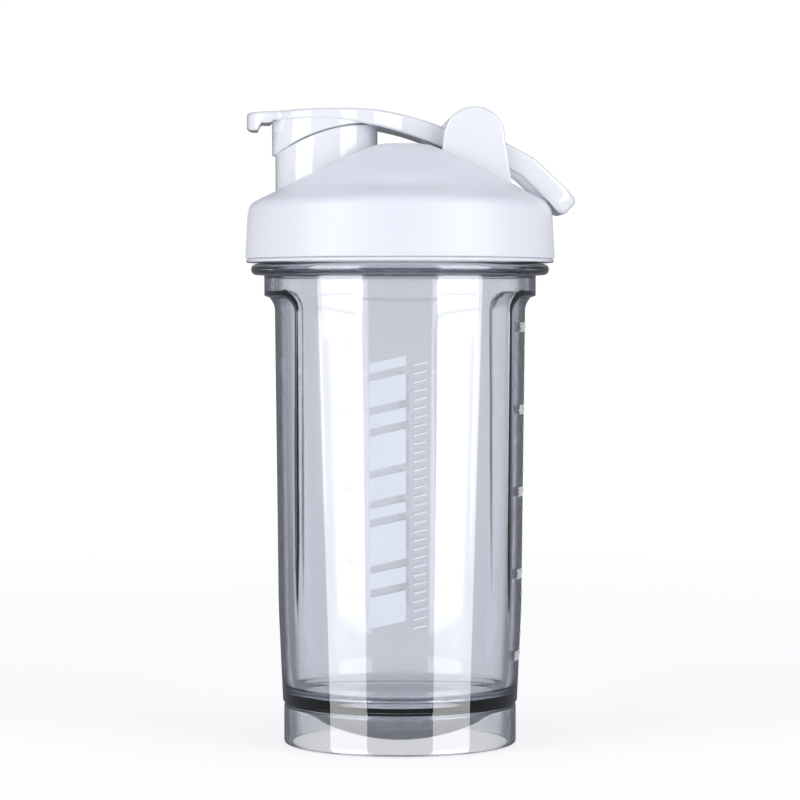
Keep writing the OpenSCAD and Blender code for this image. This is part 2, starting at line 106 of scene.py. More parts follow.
def mirrored_ray(tree):
    """1 for a ray that a surface mirrors and 0 for every other, with refracted rays among the others."""
    ray = add_node(tree, "ShaderNodeLightPath").outputs
    return add_node(tree, "ShaderNodeMath", ray["Is Glossy Ray"], ray["Is Transmission Ray"],
                    operation="SUBTRACT", use_clamp=True).outputs[0]


# The camera sees a white wall, scattered light a dim one, and a mirrored ray a dark one
bpy.context.scene.world = bpy.data.worlds.new("white_room")
bpy.context.scene.world.use_nodes = True
room = bpy.context.scene.world.node_tree
room.nodes.clear()
seen_wall, dim_wall, dark_wall = (
    add_node(room, "ShaderNodeBackground", Color=tint, Strength=strength).outputs[0]
    for tint, strength in (((1, 1, 1, 1), 1.02), (WALL_TINT, 0.42), (WALL_TINT, 0.16)))
scattered = add_node(room, "ShaderNodeLightPath").outputs["Is Diffuse Ray"]
lit_wall = add_node(room, "ShaderNodeMixShader", scattered, seen_wall, dim_wall).outputs[0]
wall = add_node(room, "ShaderNodeMixShader", mirrored_ray(room), lit_wall, dark_wall).outputs[0]
add_node(room, "ShaderNodeOutputWorld", wall)


class Finish:
    """A material with a Principled shader, and short calls that add nodes and link them."""

    def __init__(self, name, **constants):
        self.material = bpy.data.materials.new(name)
        self.material.use_nodes = True
        self.tree = self.material.node_tree
        self.shader = self.tree.nodes["Principled BSDF"]
        self.output = self.tree.nodes["Material Output"]
        for socket, value in constants.items():
            self.shader.inputs[socket.replace("_", " ")].default_value = value
        self.place = self.node("ShaderNodeTexCoord").outputs["Object"]

    def node(self, kind, *inputs, **values):
        """A node in this material, as add_node() makes it."""
        return add_node(self.tree, kind, *inputs, **values)

    def feed(self, socket, output):
        """Links an output to one of the Principled shader's sockets."""
        self.tree.links.new(output, self.shader.inputs[socket])

    def noise(self, scale, detail):
        """A noise pattern of that scale and detail over the piece."""
        return self.node("ShaderNodeTexNoise", Vector=self.place, Scale=scale, Detail=detail).outputs[0]

    def mix(self, mask, low, high):
        """A colour that goes from low to high as the mask goes from 0 to 1."""
        made = self.node("ShaderNodeMix", mask, data_type="RGBA")
        made.inputs[6].default_value = (*low, 1)
        made.inputs[7].default_value = (*high, 1)
        return made.outputs[2]

    def between(self, mask, low, high):
        """A number that goes from low to high as the mask goes from 0 to 1."""
        return self.node("ShaderNodeMapRange", Value=mask, To_Min=low, To_Max=high).outputs[0]

    def bump(self, height, depth, **more):
        """The normal of a height map that stands out by depth metres, over another normal if one is given."""
        return self.node("ShaderNodeBump", Height=height, Distance=depth, **more).outputs[0]


pale_floor = Finish("pale_floor", Roughness=0.7, Emission_Color=(1, 1, 1, 1))
floor_patch = pale_floor.noise(9.0, 4.0)
pale_floor.feed("Base Color", pale_floor.mix(floor_patch, (0.38, 0.38, 0.39), (0.42, 0.42, 0.43)))
floor_reach = pale_floor.node("ShaderNodeVectorMath", pale_floor.place, operation="LENGTH").outputs["Value"]
floor_glow = pale_floor.node("ShaderNodeMapRange", Value=floor_reach, From_Min=0.15, From_Max=1.5,
                             To_Min=0.72, To_Max=0.89, interpolation_type="SMOOTHSTEP")
pale_floor.feed("Emission Strength", floor_glow.outputs[0])
floor_clear = pale_floor.node("ShaderNodeBsdfTransparent").outputs[0]
floor_seen = pale_floor.node("ShaderNodeMixShader", mirrored_ray(pale_floor.tree),
                             pale_floor.shader.outputs[0], floor_clear).outputs[0]
pale_floor.tree.links.new(floor_seen, pale_floor.output.inputs["Surface"])

floor_mesh = bpy.data.meshes.new("floor")
floor_turn = np.linspace(0, 2 * math.pi, 96, endpoint=False)
floor_rim = np.stack([FLOOR_R * np.cos(floor_turn), FLOOR_R * np.sin(floor_turn), np.full(96, FLOOR_Z)], axis=1)
floor_mesh.from_pydata(floor_rim.tolist(), [], [list(range(96))])
floor_mesh.materials.append(pale_floor.material)
floor = bpy.data.objects.new("floor", floor_mesh)
bpy.context.scene.collection.objects.link(floor)

# ---------------------------------------------------------------- Jar
# The jar is moulded in one piece from clear, slightly smoked copolyester. Its bowl-shaped floor hangs
# inside a foot ring, each side has a grip recess, and the neck carries one turn and a quarter of thread
# above a round bead that the lid comes down to.

BODY_LOW_R, BODY_TOP_R, BODY_TOP = 37.4, 43.2, 142.2
FOOT_R, FOOT_IN_R, FOOT_TOP = 37.0, 34.8, 13.3
JAR_WALL, FLOOR_WALL = 3.0, 3.3
BOWL_R, BOWL_Z = 57.3, 58.2
GATE_R = 3.2
GRIP_SIDE, GRIP_DEPTH, GRIP_LOW, GRIP_CORNER = 33.6, 3.3, 43.0, 5.5
GRIP_SOFT, GRIP_ANGLE = 0.9, math.radians(34)
COLLAR_TOP, FLANGE_TOP, FLANGE_R = 148.8, 152.3, 47.4
NECK_R, MOUTH_R, RIM = 44.3, 40.6, 169.0
THREAD_LEAD, THREAD_TURNS, THREAD_H, THREAD_HALF = 6.0, 1.25, 1.4, 1.2
THREAD_Z = FLANGE_TOP + 4


def line(p, q, steps):
    """Points on the straight line from p to q, without q."""
    share = np.linspace(0, 1, steps, endpoint=False)[:, None]
    return np.asarray(p) + share * np.subtract(q, p)


def arc(centre, radius, a, b, steps):
    """Points on a round arc from angle a to angle b in degrees, both ends included."""
    turn = np.radians(np.linspace(a, b, steps + 1))
    return np.asarray(centre) + radius * np.stack([np.cos(turn), np.sin(turn)], axis=1)


def smooth_step(t):
    """0 up to t = 0 and 1 from t = 1, with a smooth S between them: 3 t squared less 2 t cubed."""
    t = np.clip(t, 0, 1)
    return t * t * (3 - 2 * t)


def closed_mesh(name, points, faces):
    """A mesh from points in millimetres, with doubled points merged and its faces turned outwards."""
    mesh = bpy.data.meshes.new(name)
    mesh.from_pydata((points * 0.001).tolist(), [], list(map(tuple, faces)))
    shape = bmesh.new()
    shape.from_mesh(mesh)
    bmesh.ops.remove_doubles(shape, verts=shape.verts, dist=2e-7)
    bmesh.ops.recalc_face_normals(shape, faces=shape.faces)
    shape.to_mesh(mesh)
    shape.free()
    return mesh


def mesh_piece(name, points, faces, finish, body, slot, sharp=35):
    """A piece that rides on its body with its finish, smooth but for the edges sharper than an angle."""
    mesh = closed_mesh(name, points, faces)
    mesh.shade_smooth()
    mesh.set_sharp_from_angle(angle=math.radians(sharp))
    mesh.materials.append(finish.material)
    piece = bpy.data.objects.new(name, mesh)
    bpy.context.scene.collection.objects.link(piece)
    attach(piece, body)
    return piece


def net(points, closed):
    """Points and four-sided faces of a grid. Each row runs round and closes on itself; with closed, the last
    row joins the first as well, and without it the first and last rows shrink to the middle of each."""
    if not closed:
        first, last = points[:1].mean(axis=1, keepdims=True), points[-1:].mean(axis=1, keepdims=True)
        across = np.ones((1, points.shape[1], 1))
        points = np.concatenate([first * across, points, last * across])
    rows, columns, _ = points.shape
    index = np.arange(rows * columns).reshape(rows, columns)
    down = np.roll(index, -1, axis=0) if closed else index[1:]
    index = index if closed else index[:-1]
    right, down_right = np.roll(index, -1, axis=1), np.roll(down, -1, axis=1)
    faces = np.stack([index, right, down_right, down], axis=-1).reshape(-1, 4)
    return points.reshape(-1, 3), faces


def turned(profile, angles, axis_x=0.0):
    """Rows of a turned shape: each profile point, a radius and a height, goes round the upright axis at
    axis_x. Radius and height may each be an array over the angles too."""
    radius, height = (np.broadcast_to(np.asarray(part, float), (len(part), len(angles))) for part in profile)
    return np.stack([axis_x + radius * np.cos(angles), radius * np.sin(angles), height], axis=-1)


def columns_of(profile):
    """A profile's radii and heights as two columns, ready to go round."""
    return profile[:, :1], profile[:, 1:]


def full_turn(count):
    """Evenly spaced angles round one turn."""
    return np.linspace(0, 2 * math.pi, count, endpoint=False)


def body_radius(z):
    """Radius of the body's outside: a cone that widens evenly from the foot to the collar."""
    slope = (BODY_TOP_R - BODY_LOW_R) / (BODY_TOP - FOOT_TOP)
    return BODY_LOW_R + slope * (np.minimum(z, BODY_TOP) - FOOT_TOP)


def soft_min(a, b, soft):
    """The lower of a and b, with the crease between them eased over a width of soft."""
    near = np.clip(soft - np.abs(a - b), 0, None) / soft
    return np.minimum(a, b) - near * near * soft / 4


def soft_max(a, b, soft):
    """The higher of a and b, eased over a width of soft."""
    return -soft_min(-a, -b, soft)


def gripped(angles, z, sink, side, ease, lip):
    """Radii and heights of the body's wall, sunk by sink, with its grip recesses. A recess is a deeper cone
    that ends in an upright wall at x = side: its radius is the deeper cone's or side / cos of the angle,
    whichever is more, and never over the body's. Its top corner is round. At the top, a ledge takes a share
    of lip of the depth, and the rest eases in over a height of ease."""
    z = z[:, None]
    body = body_radius(z) - sink
    below = np.clip((BODY_TOP + sink / 2 - z) / ease, 0, 1)
    depth = (GRIP_DEPTH * np.clip((z - GRIP_LOW) / (BODY_TOP - GRIP_LOW), 0, 1)
             * (lip * smooth_step(10 * below) + (1 - lip) * (1 - (1 - below) ** 2)))
    corner = np.clip((z - BODY_TOP - sink / 2) / GRIP_CORNER + 1, 0, 1)
    edge = side + GRIP_CORNER * (1 - np.sqrt(1 - corner ** 2))
    soft = np.minimum(GRIP_SOFT, depth) + 1e-6
    wall = edge / np.maximum(np.abs(np.cos(angles)), 0.05)
    return soft_min(soft_max(body - depth, wall, soft), body, soft), z


def thread_ridge(angles, z, start, drop=0.0):
    """How far a thread ridge stands out at an angle and height: a flat-topped ridge whose middle climbs by
    the lead in each turn, and which fades in and out over its first and last 36 degrees."""
    height = np.zeros(np.broadcast(angles, z).shape)
    for lap in (0, 1):
        turn = np.degrees(angles) + 360 * lap
        middle = start - drop + THREAD_LEAD * turn / 360
        ends = smooth_step(np.minimum(turn, 360 * THREAD_TURNS - turn) / 36)
        flank = np.clip((THREAD_HALF - np.abs(z - middle)) / (THREAD_HALF / 2), 0, 1)
        height = np.maximum(height, THREAD_H * ends * smooth_step(flank))
    return height


# Angles round one turn, crowded together where the recesses have their walls
even = np.linspace(0, 2 * math.pi, 4001)
near_edge = np.exp(-((np.arccos(np.abs(np.cos(even))) - GRIP_ANGLE) / 0.09) ** 2)
crowding = np.cumsum(1 + 3.5 * near_edge)
jar_angles = np.interp(np.linspace(crowding[0], crowding[-1], 280, endpoint=False), crowding, even)

bowl_out = np.linspace(0.4, 33.9, 18)
bowl_in = np.linspace(32.6, GATE_R + 0.3, 18)
gate_floor = BOWL_Z - math.sqrt((BOWL_R - FLOOR_WALL) ** 2 - GATE_R ** 2) + 0.45
outside_low = np.concatenate([
    np.stack([bowl_out, BOWL_Z - np.sqrt(BOWL_R ** 2 - bowl_out ** 2)], axis=1),
    arc((FOOT_IN_R - 0.8, 11.4), 0.8, 90, 0, 4),
    line((FOOT_IN_R, 10.6), (FOOT_IN_R, 0.6), 6),
    arc((FOOT_IN_R + 0.6, 0.6), 0.6, 180, 270, 4),
    arc((FOOT_R - 0.6, 0.6), 0.6, 270, 360, 4),
    line((FOOT_R, 1.6), (FOOT_R, FOOT_TOP - 0.5), 7),
    [(FOOT_R - 0.18, FOOT_TOP)],
])
outside_body_z = np.concatenate([np.linspace(FOOT_TOP + 0.2, 40, 6, endpoint=False),
                                 np.linspace(40, 134, 18, endpoint=False),
                                 np.linspace(134, BODY_TOP + 1.2, 34)])
bead = FLANGE_TOP - COLLAR_TOP
outside_high = np.concatenate([
    line((BODY_TOP_R, BODY_TOP + 2.2), (BODY_TOP_R, COLLAR_TOP - 0.6), 4),
    arc((BODY_TOP_R + 0.6, COLLAR_TOP - 0.6), 0.6, 180, 90, 3),
    arc((FLANGE_R - bead / 2, COLLAR_TOP + bead / 2), bead / 2, -90, 90, 14),
    arc((NECK_R + 0.5, FLANGE_TOP + 0.5), 0.5, 270, 180, 3),
])
neck_z = np.linspace(FLANGE_TOP + 0.8, RIM - 1.2, 48)
rim_and_inside = np.concatenate([
    arc((NECK_R - 1.0, RIM - 1.0), 1.0, 0, 90, 5),
    arc((MOUTH_R + 0.9, RIM - 0.9), 0.9, 90, 180, 5),
    line((MOUTH_R, RIM - 1.5), (MOUTH_R, FLANGE_TOP), 6),
    line((MOUTH_R, FLANGE_TOP), (BODY_TOP_R - JAR_WALL, COLLAR_TOP), 4),
])
inside_body_z = np.concatenate([np.linspace(COLLAR_TOP - 0.4, 134, 34, endpoint=False),
                                np.linspace(134, 40, 16, endpoint=False), np.linspace(40, 20, 6)])
wall_in_low = body_radius(18.0) - JAR_WALL
inside_low = np.concatenate([
    arc((wall_in_low - 3.0, 19.4), 3.0, 0, -52, 6),
    np.stack([bowl_in, BOWL_Z - np.sqrt((BOWL_R - FLOOR_WALL) ** 2 - bowl_in ** 2)], axis=1),
    line((GATE_R, gate_floor - 0.1), (GATE_R - 0.3, gate_floor), 2),
    line((GATE_R - 0.3, gate_floor), (0.3, gate_floor - 0.15), 4),
])

neck_rows = (NECK_R + thread_ridge(jar_angles, neck_z[:, None], THREAD_Z), neck_z[:, None])
jar_grid = np.concatenate([turned(part, jar_angles) for part in (
    columns_of(outside_low), gripped(jar_angles, outside_body_z, 0, GRIP_SIDE, 4.6, 0.35),
    columns_of(outside_high), neck_rows, columns_of(rim_and_inside),
    gripped(jar_angles, inside_body_z, JAR_WALL, GRIP_SIDE - 1.9, 6.0, 0.2), columns_of(inside_low))])

# Slow ripples in the melt, a fine polish and a slow patchy mask, shared by every glossy plastic here
melt = bpy.data.node_groups.new("melt_ripple", "ShaderNodeTree")
melt.interface.new_socket("Vector", in_out="INPUT", socket_type="NodeSocketVector")
for label in ("Ripple", "Polish"):
    melt.interface.new_socket(label, in_out="INPUT", socket_type="NodeSocketFloat")
for label in ("Height", "Fine", "Mask"):
    melt.interface.new_socket(label, in_out="OUTPUT", socket_type="NodeSocketFloat")
melt_in = add_node(melt, "NodeGroupInput").outputs
melt_maps = [
    add_node(melt, "ShaderNodeTexNoise", Vector=melt_in["Vector"], Scale=scale, Detail=detail).outputs[0]
    for scale, detail in ((melt_in["Ripple"], 2.0), (melt_in["Polish"], 3.0), (60.0, 5.0))]
add_node(melt, "NodeGroupOutput", *melt_maps)


def melt_of(finish, ripple, polish):
    """The melt group in a finish, with its ripples' and its polish's scale: gives Height, Fine and Mask."""
    return finish.node("ShaderNodeGroup", node_tree=melt, Vector=finish.place, Ripple=ripple,
                       Polish=polish).outputs


clear_jar = Finish("smoked_clear_copolyester", Base_Color=(1, 1, 1, 1), Roughness=0.015, IOR=1.54,
                   Transmission_Weight=1.0, Specular_IOR_Level=0.9, Coat_Weight=1.0, Coat_Roughness=0.02,
                   Coat_IOR=1.8)
jar_melt = melt_of(clear_jar, 35.0, 900.0)
clear_jar.feed("Normal", clear_jar.bump(jar_melt["Height"], 0.00006))
clear_jar.feed("Roughness", clear_jar.between(jar_melt["Mask"], 0.0, 0.03))
# Painted shade: the jar's colour goes dark near its outline, where the wall turns away from the camera,
# standing in for the dark edges that a thick clear wall shows
jar_facing = clear_jar.node("ShaderNodeLayerWeight", Blend=0.5).outputs["Facing"]
jar_edge_painted_shade = clear_jar.node("ShaderNodeMapRange", Value=jar_facing, From_Min=0.57, From_Max=0.71).outputs[0]
clear_jar.feed("Base Color", clear_jar.mix(jar_edge_painted_shade, (1, 1, 1), (0.08, 0.085, 0.1)))
smoke = clear_jar.node("ShaderNodeVolumeAbsorption", Color=(0.74, 0.755, 0.81, 1), Density=270.0)
clear_jar.tree.links.new(smoke.outputs[0], clear_jar.output.inputs["Volume"])

jar = mesh_piece("jar_body", *net(jar_grid, False), clear_jar, "jar", "clear_jar", sharp=50)
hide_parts("jar")

# ---------------------------------------------------------------- Print and measuring marks
# The front print is one screen of pale ink on the clear wall: a bold column of slanted bars beside a
# fine ladder of thin strokes. The scale on the right grip is moulded with the jar, so it stands out a little.

PRINT_LOW, PRINT_HIGH, PRINT_BEARING = 41.0, 122.5, math.radians(-93)
INK_PROUD, INK_T = 0.03, 0.05
BAR_HEIGHTS = [9.5, 5.0, 12.0, 3.2, 7.0, 10.5, 4.2, 8.0, 3.0]
BAR_LEFT, BAR_RIGHT, BAR_LEAN = -9.4, 1.8, 2.6
STROKE_LEFT, STROKE_RIGHT, STROKE_LEAN, STROKE_H, STROKE_STEP = 4.2, 8.2, 0.9, 0.55, 2.7


def on_wall(across, up, proud, bearing, radius):
    """Points laid on the jar's wall: across is measured round the wall from a bearing, up is the height, and
    radius gives the wall's radius at that height."""
    reach = radius(up) + proud
    turn = bearing + across / radius(up)
    return np.stack([reach * np.cos(turn), reach * np.sin(turn), up], axis=-1)


def wall_bar(low, high, left, right, lean, bearing, radius, near, far):
    """A thin closed bar on the wall, between two heights and two sides, whose ends lean over by lean. Its
    inner face stands near off the wall and its outer face far."""
    share, side = np.linspace(0, 1, 5)[:, None], np.linspace(0, 1, 9)[None, :]
    across = left + (right - left) * side + 0 * share
    up = low + (high - low) * share + lean * (side - 0.5)
    outer, inner = (on_wall(across, up, proud, bearing, radius) for proud in (far, near))
    return net(np.concatenate([outer, inner[:, ::-1]], axis=1), False)


def joined(parts):
    """Several nets of points and faces as one."""
    starts = np.cumsum([0] + [len(points) for points, _ in parts[:-1]])
    return (np.concatenate([points for points, _ in parts]),
            np.concatenate([faces + start for (_, faces), start in zip(parts, starts)]))


on_front = (PRINT_BEARING, body_radius, INK_PROUD, INK_PROUD + INK_T)
bar_gap = (PRINT_HIGH - PRINT_LOW - sum(BAR_HEIGHTS)) / (len(BAR_HEIGHTS) - 1)
bar_lows = PRINT_LOW + np.cumsum([0, *BAR_HEIGHTS[:-1]]) + bar_gap * np.arange(len(BAR_HEIGHTS))
ink_parts = [wall_bar(low, low + height, BAR_LEFT, BAR_RIGHT, BAR_LEAN, *on_front)
             for low, height in zip(bar_lows, BAR_HEIGHTS)]
ink_parts += [wall_bar(low, low + STROKE_H, STROKE_LEFT, STROKE_RIGHT, STROKE_LEAN, *on_front)
              for low in np.arange(PRINT_LOW - 1, PRINT_HIGH - 1, STROKE_STEP)]

ink = Finish("pale_screen_ink", Roughness=0.45, IOR=1.5)
ink_screen = ink.noise(1400.0, 2.0)
ink.feed("Base Color", ink.mix(ink.noise(90.0, 4.0), (0.60, 0.65, 0.74), (0.68, 0.72, 0.80)))
ink.feed("Roughness", ink.between(ink_screen, 0.35, 0.6))
ink.feed("Normal", ink.bump(ink_screen, 0.00002))
mesh_piece("front_print", *joined(ink_parts), ink, "jar", "clear_jar")

MARK_BEARING, MARK_LEFT, MARK_T = math.radians(-13), 2.0, 0.7
MARK_LOW, MARK_STEP, MARK_COUNT = 28.4, 26.0, 5
NUMBER_SIZE, NUMBER_DROP, NUMBER_RIGHT = 4.4, 1.6, 0.6


def grip_radius(z):
    """Radius of the wall on the grip: the body's cone, less the recess's depth above GRIP_LOW."""
    depth = GRIP_DEPTH * np.clip((z - GRIP_LOW) / (BODY_TOP - GRIP_LOW), 0, 1)
    return body_radius(z) - depth


mark_parts = []
for quarter in range(MARK_COUNT * 4 - 3):
    height = MARK_LOW + quarter * MARK_STEP / 4
    length = 5.0 if quarter % 4 == 0 else 2.6
    mark_parts.append(wall_bar(height - MARK_T / 2, height + MARK_T / 2, MARK_LEFT, MARK_LEFT + length, 0,
                               MARK_BEARING, grip_radius, 0.02, 0.22))


def numbers():
    """The scale's numbers from Blender's own plain letters: one text of five lines, a mark's step apart, made
    a mesh and laid on the wall. Gives its points and faces."""
    curve = bpy.data.curves.new("numbers", "FONT")
    curve.body = "500\n400\n300\n200\n100"
    curve.size = NUMBER_SIZE
    curve.space_line = MARK_STEP / NUMBER_SIZE
    curve.extrude = 0.14
    curve.align_x = "RIGHT"
    curve.resolution_u = 3
    letters = bpy.data.objects.new("numbers", curve)
    bpy.context.scene.collection.objects.link(letters)
    bpy.context.view_layer.update()
    mesh = bpy.data.meshes.new_from_object(letters.evaluated_get(bpy.context.evaluated_depsgraph_get()))
    bpy.data.objects.remove(letters)
    flat = np.empty(len(mesh.vertices) * 3)
    mesh.vertices.foreach_get("co", flat)
    across, up, proud = flat.reshape(-1, 3).T
    up = up + MARK_LOW + (MARK_COUNT - 1) * MARK_STEP - NUMBER_DROP
    return (on_wall(NUMBER_RIGHT + across, up, 0.16 + proud, MARK_BEARING, grip_radius),
            [tuple(face.vertices) for face in mesh.polygons])


raised = Finish("frosted_raised_scale", Base_Color=(0.93, 0.94, 0.97, 1), Roughness=0.3, IOR=1.5,
                Transmission_Weight=0.35)
raised_grain = raised.noise(2500.0, 2.0)
raised.feed("Roughness", raised.between(raised_grain, 0.25, 0.5))
raised.feed("Normal", raised.bump(raised_grain, 0.00003))
mesh_piece("measuring_scale", *joined(mark_parts), raised, "jar", "clear_jar")
mesh_piece("measuring_numbers", *numbers(), raised, "jar", "clear_jar")

# ---------------------------------------------------------------- Sealing ring
# A flat ring of soft grey silicone that lies on the jar's rim under the lid's shelf, with rounded
# edges. It is cut to the rim and stays in the lid when the lid comes off.

SHELF = 170.8


def rounded_ring(inner, outer, low, high, round_r):
    """The closed profile of a ring with four rounded edges: four quarter arcs joined by straight sides."""
    return np.concatenate([
        arc((inner + round_r, low + round_r), round_r, 180, 270, 4),
        arc((outer - round_r, low + round_r), round_r, 270, 360, 4),
        arc((outer - round_r, high - round_r), round_r, 0, 90, 4),
        arc((inner + round_r, high - round_r), round_r, 90, 180, 4),
    ])


ring_silicone = Finish("grey_silicone", Roughness=0.5, IOR=1.41, Subsurface_Weight=0.1)
dusty_bloom = ring_silicone.noise(120.0, 5.0)
ring_silicone.feed("Base Color", ring_silicone.mix(dusty_bloom, (0.62, 0.65, 0.70), (0.6944, 0.728, 0.784)))
ring_silicone.feed("Roughness", ring_silicone.between(dusty_bloom, 0.4, 0.62))
ring_silicone.feed("Normal", ring_silicone.bump(ring_silicone.noise(3000.0, 2.0), 0.00003))
ring_angles = full_turn(192)
gasket = rounded_ring(39.15, 43.9, RIM + 0.1, SHELF - 0.1, 0.5)
gasket_piece = mesh_piece("sealing_ring", *net(turned(columns_of(gasket), ring_angles), True),
                          ring_silicone, "seal_ring", "seal")
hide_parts("lid_gasket")

# ---------------------------------------------------------------- Lid core
# The hard, glossy inner lid, moulded in one piece from white polypropylene: the threaded socket and the
# ring that reaches into the mouth, the domed roof, the drinking spout, and two ears for the hinge.

LID_LOW, RIM_H = 152.7, 1.3
LID_LOW_R, LID_TOP_R = 49.3, 48.3
SHOULDER, CROWN = 171.4, 189.7
FRONT_K, SIDE_K = math.tan(math.radians(35)), (CROWN - SHOULDER) / (LID_TOP_R - 8.0)
SHELL_T, CORE_T = 1.4, 1.8
SHOULDER_R = 4.6
BORE_R, CORE_OUT_R = 46.05, 47.85
PLUG_OUT_R, PLUG_IN_R, PLUG_LOW = 38.8, 37.2, 163.3
SPOUT_X, SPOUT_R, SPOUT_BORE, LIP_R, LIP_TOP = -23.4, 16.2, 12.8, 15.2, 196.7
SEAM_X, SEAM_Z, SEAM_R, RUN_GAP = -8.0, 138.5, 58.0, 0.35
PIVOT_X, PIVOT_Z, PIN_R = 22.4, 191.8, 2.0
EAR_R, EAR_IN_Y, EAR_OUT_Y, EAR_ROUND = 9.6, 15.2, 18.4, 1.0


def shoulder_drop(reach):
    """How far the round shoulder falls below the front cone. The round touches the cone and the upright
    skirt: drop = R / cos(s) - tan(s) u - root(R R - u u), where s is the cone's slope and u is R at the
    skirt."""
    past = np.clip(reach - LID_TOP_R + SHOULDER_R, 0, SHOULDER_R)
    drop = SHOULDER_R * math.hypot(1, FRONT_K) - FRONT_K * past - np.sqrt(SHOULDER_R ** 2 - past ** 2)
    return np.where(past > SHOULDER_R * math.sin(math.atan(FRONT_K)), drop, 0)


def lid_roof(x, y):
    """Height of the lid's top: the lowest of a cone that falls to the front and back, two side slopes and a
    flat crown, with soft ridges between them, eased in above the shoulder and rounded over it."""
    reach = np.hypot(x, y)
    cone = SHOULDER + FRONT_K * (LID_TOP_R - reach)
    cone = cone - 0.7 * np.exp(-((LID_TOP_R - reach - 8.0) / 3.0) ** 2)
    sides = SHOULDER + SIDE_K * (LID_TOP_R - np.abs(x))
    return soft_min(soft_min(cone, sides, 2.2), CROWN, 1.6) - shoulder_drop(reach)


def toward_rim(angles, reach):
    """How far it is from the spout's axis, along each angle, to a circle of radius reach round the lid."""
    along = SPOUT_X * np.cos(angles)
    return -along + np.sqrt(along ** 2 - SPOUT_X ** 2 + np.asarray(reach) ** 2)


def roof_rows(angles, hole, reaches, drop):
    """Rows of a roof with a round hole on the spout's axis. They go from the hole out to the reaches, which
    are radii round the lid's axis, and lie at the roof's height less drop."""
    first = toward_rim(angles, reaches[0])
    share = np.linspace(0, 1, 60, endpoint=False)[:, None]
    length = np.concatenate([hole + (first - hole) * share, [toward_rim(angles, reach) for reach in reaches]])
    x, y = SPOUT_X + length * np.cos(angles), length * np.sin(angles)
    return np.stack([x, y, lid_roof(x, y) - drop], axis=-1)


gloss_white = Finish("gloss_white_polypropylene", Roughness=0.16, IOR=1.49, Coat_Weight=1.0,
                     Coat_Roughness=0.03, Coat_IOR=1.7)
gloss_melt = melt_of(gloss_white, 70.0, 1800.0)
gloss_tint = gloss_white.mix(gloss_melt["Mask"], (0.82, 0.845, 0.885), (0.86, 0.875, 0.905))
gloss_white.feed("Base Color", gloss_tint)
gloss_white.feed("Roughness", gloss_white.between(gloss_melt["Mask"], 0.06, 0.2))
gloss_ripple = gloss_white.bump(gloss_melt["Height"], 0.00012)
gloss_white.feed("Normal", gloss_white.bump(gloss_melt["Fine"], 0.000006, Normal=gloss_ripple))


def skirt_radius(z, sink):
    """Radius of the skirt, sunk by sink: it tapers in evenly from the lid's lower edge to the shoulder."""
    return LID_LOW_R - sink - (LID_LOW_R - LID_TOP_R) * (z - LID_LOW) / (SHOULDER - LID_LOW)


under_shell = SHELL_T + 0.05
socket_z = np.linspace(LID_LOW + 0.8, SHELF - 0.6, 44)
socket_profile_low = np.concatenate([
    line((45.2, SHOULDER + 0.2), (skirt_radius(SHELF - 3, under_shell), SHELF - 3), 4),
    line((skirt_radius(SHELF - 3, under_shell), SHELF - 3), (CORE_OUT_R - 0.1, LID_LOW + RIM_H + 0.4), 4),
    line((CORE_OUT_R, LID_LOW + RIM_H - 0.05), (LID_LOW_R - 0.3, LID_LOW + RIM_H - 0.05), 2),
    arc((LID_LOW_R - 0.9, LID_LOW + 0.6), 0.6, 0, -90, 5),
    arc((BORE_R + 0.5, LID_LOW + 0.5), 0.5, -90, -180, 3),
])
socket_rows = (BORE_R - thread_ridge(jar_angles, socket_z[:, None], THREAD_Z, 2.05), socket_z[:, None])
socket_profile_high = np.concatenate([
    arc((BORE_R - 0.4, SHELF - 0.4), 0.4, 0, 90, 3),
    line((PLUG_OUT_R + 0.4, SHELF), (PLUG_OUT_R, SHELF - 0.4), 2),
    line((PLUG_OUT_R, SHELF - 0.4), (PLUG_OUT_R, PLUG_LOW + 0.5), 5),
    arc((PLUG_OUT_R - 0.5, PLUG_LOW + 0.5), 0.5, 0, -90, 3),
    arc((PLUG_IN_R + 0.5, PLUG_LOW + 0.5), 0.5, -90, -180, 3),
    line((PLUG_IN_R, PLUG_LOW + 1.0), (PLUG_IN_R, SHOULDER), 6),
    line((PLUG_IN_R, SHOULDER + 0.2), (45.0, SHOULDER + 0.2), 2),
])
socket_grid = np.concatenate([turned(part, jar_angles) for part in (
    columns_of(socket_profile_low), socket_rows, columns_of(socket_profile_high))])
core_socket = mesh_piece("lid_core_socket", *net(socket_grid, True), gloss_white, "lid", "gloss_lid",
                         sharp=50)

roof_angles = full_turn(320)
roof_out = roof_rows(roof_angles, SPOUT_BORE, [43.0, 45.0], SHELL_T + 0.4)
roof_in = roof_rows(roof_angles, SPOUT_BORE, [PLUG_IN_R, PLUG_IN_R + 0.6], SHELL_T + CORE_T + 0.6)
roof_grid = np.concatenate([roof_out, roof_in[::-1]])
core_roof = mesh_piece("lid_core_roof", *net(roof_grid, True), gloss_white, "lid", "gloss_lid", sharp=50)


def wavy(rows, angles, axis_x):
    """turned() for pairs of a radius and a height, where a height may change along the angles."""
    radii, heights = zip(*rows)
    return turned((np.array(radii)[:, None], [height + 0 * angles for height in heights]), angles, axis_x)


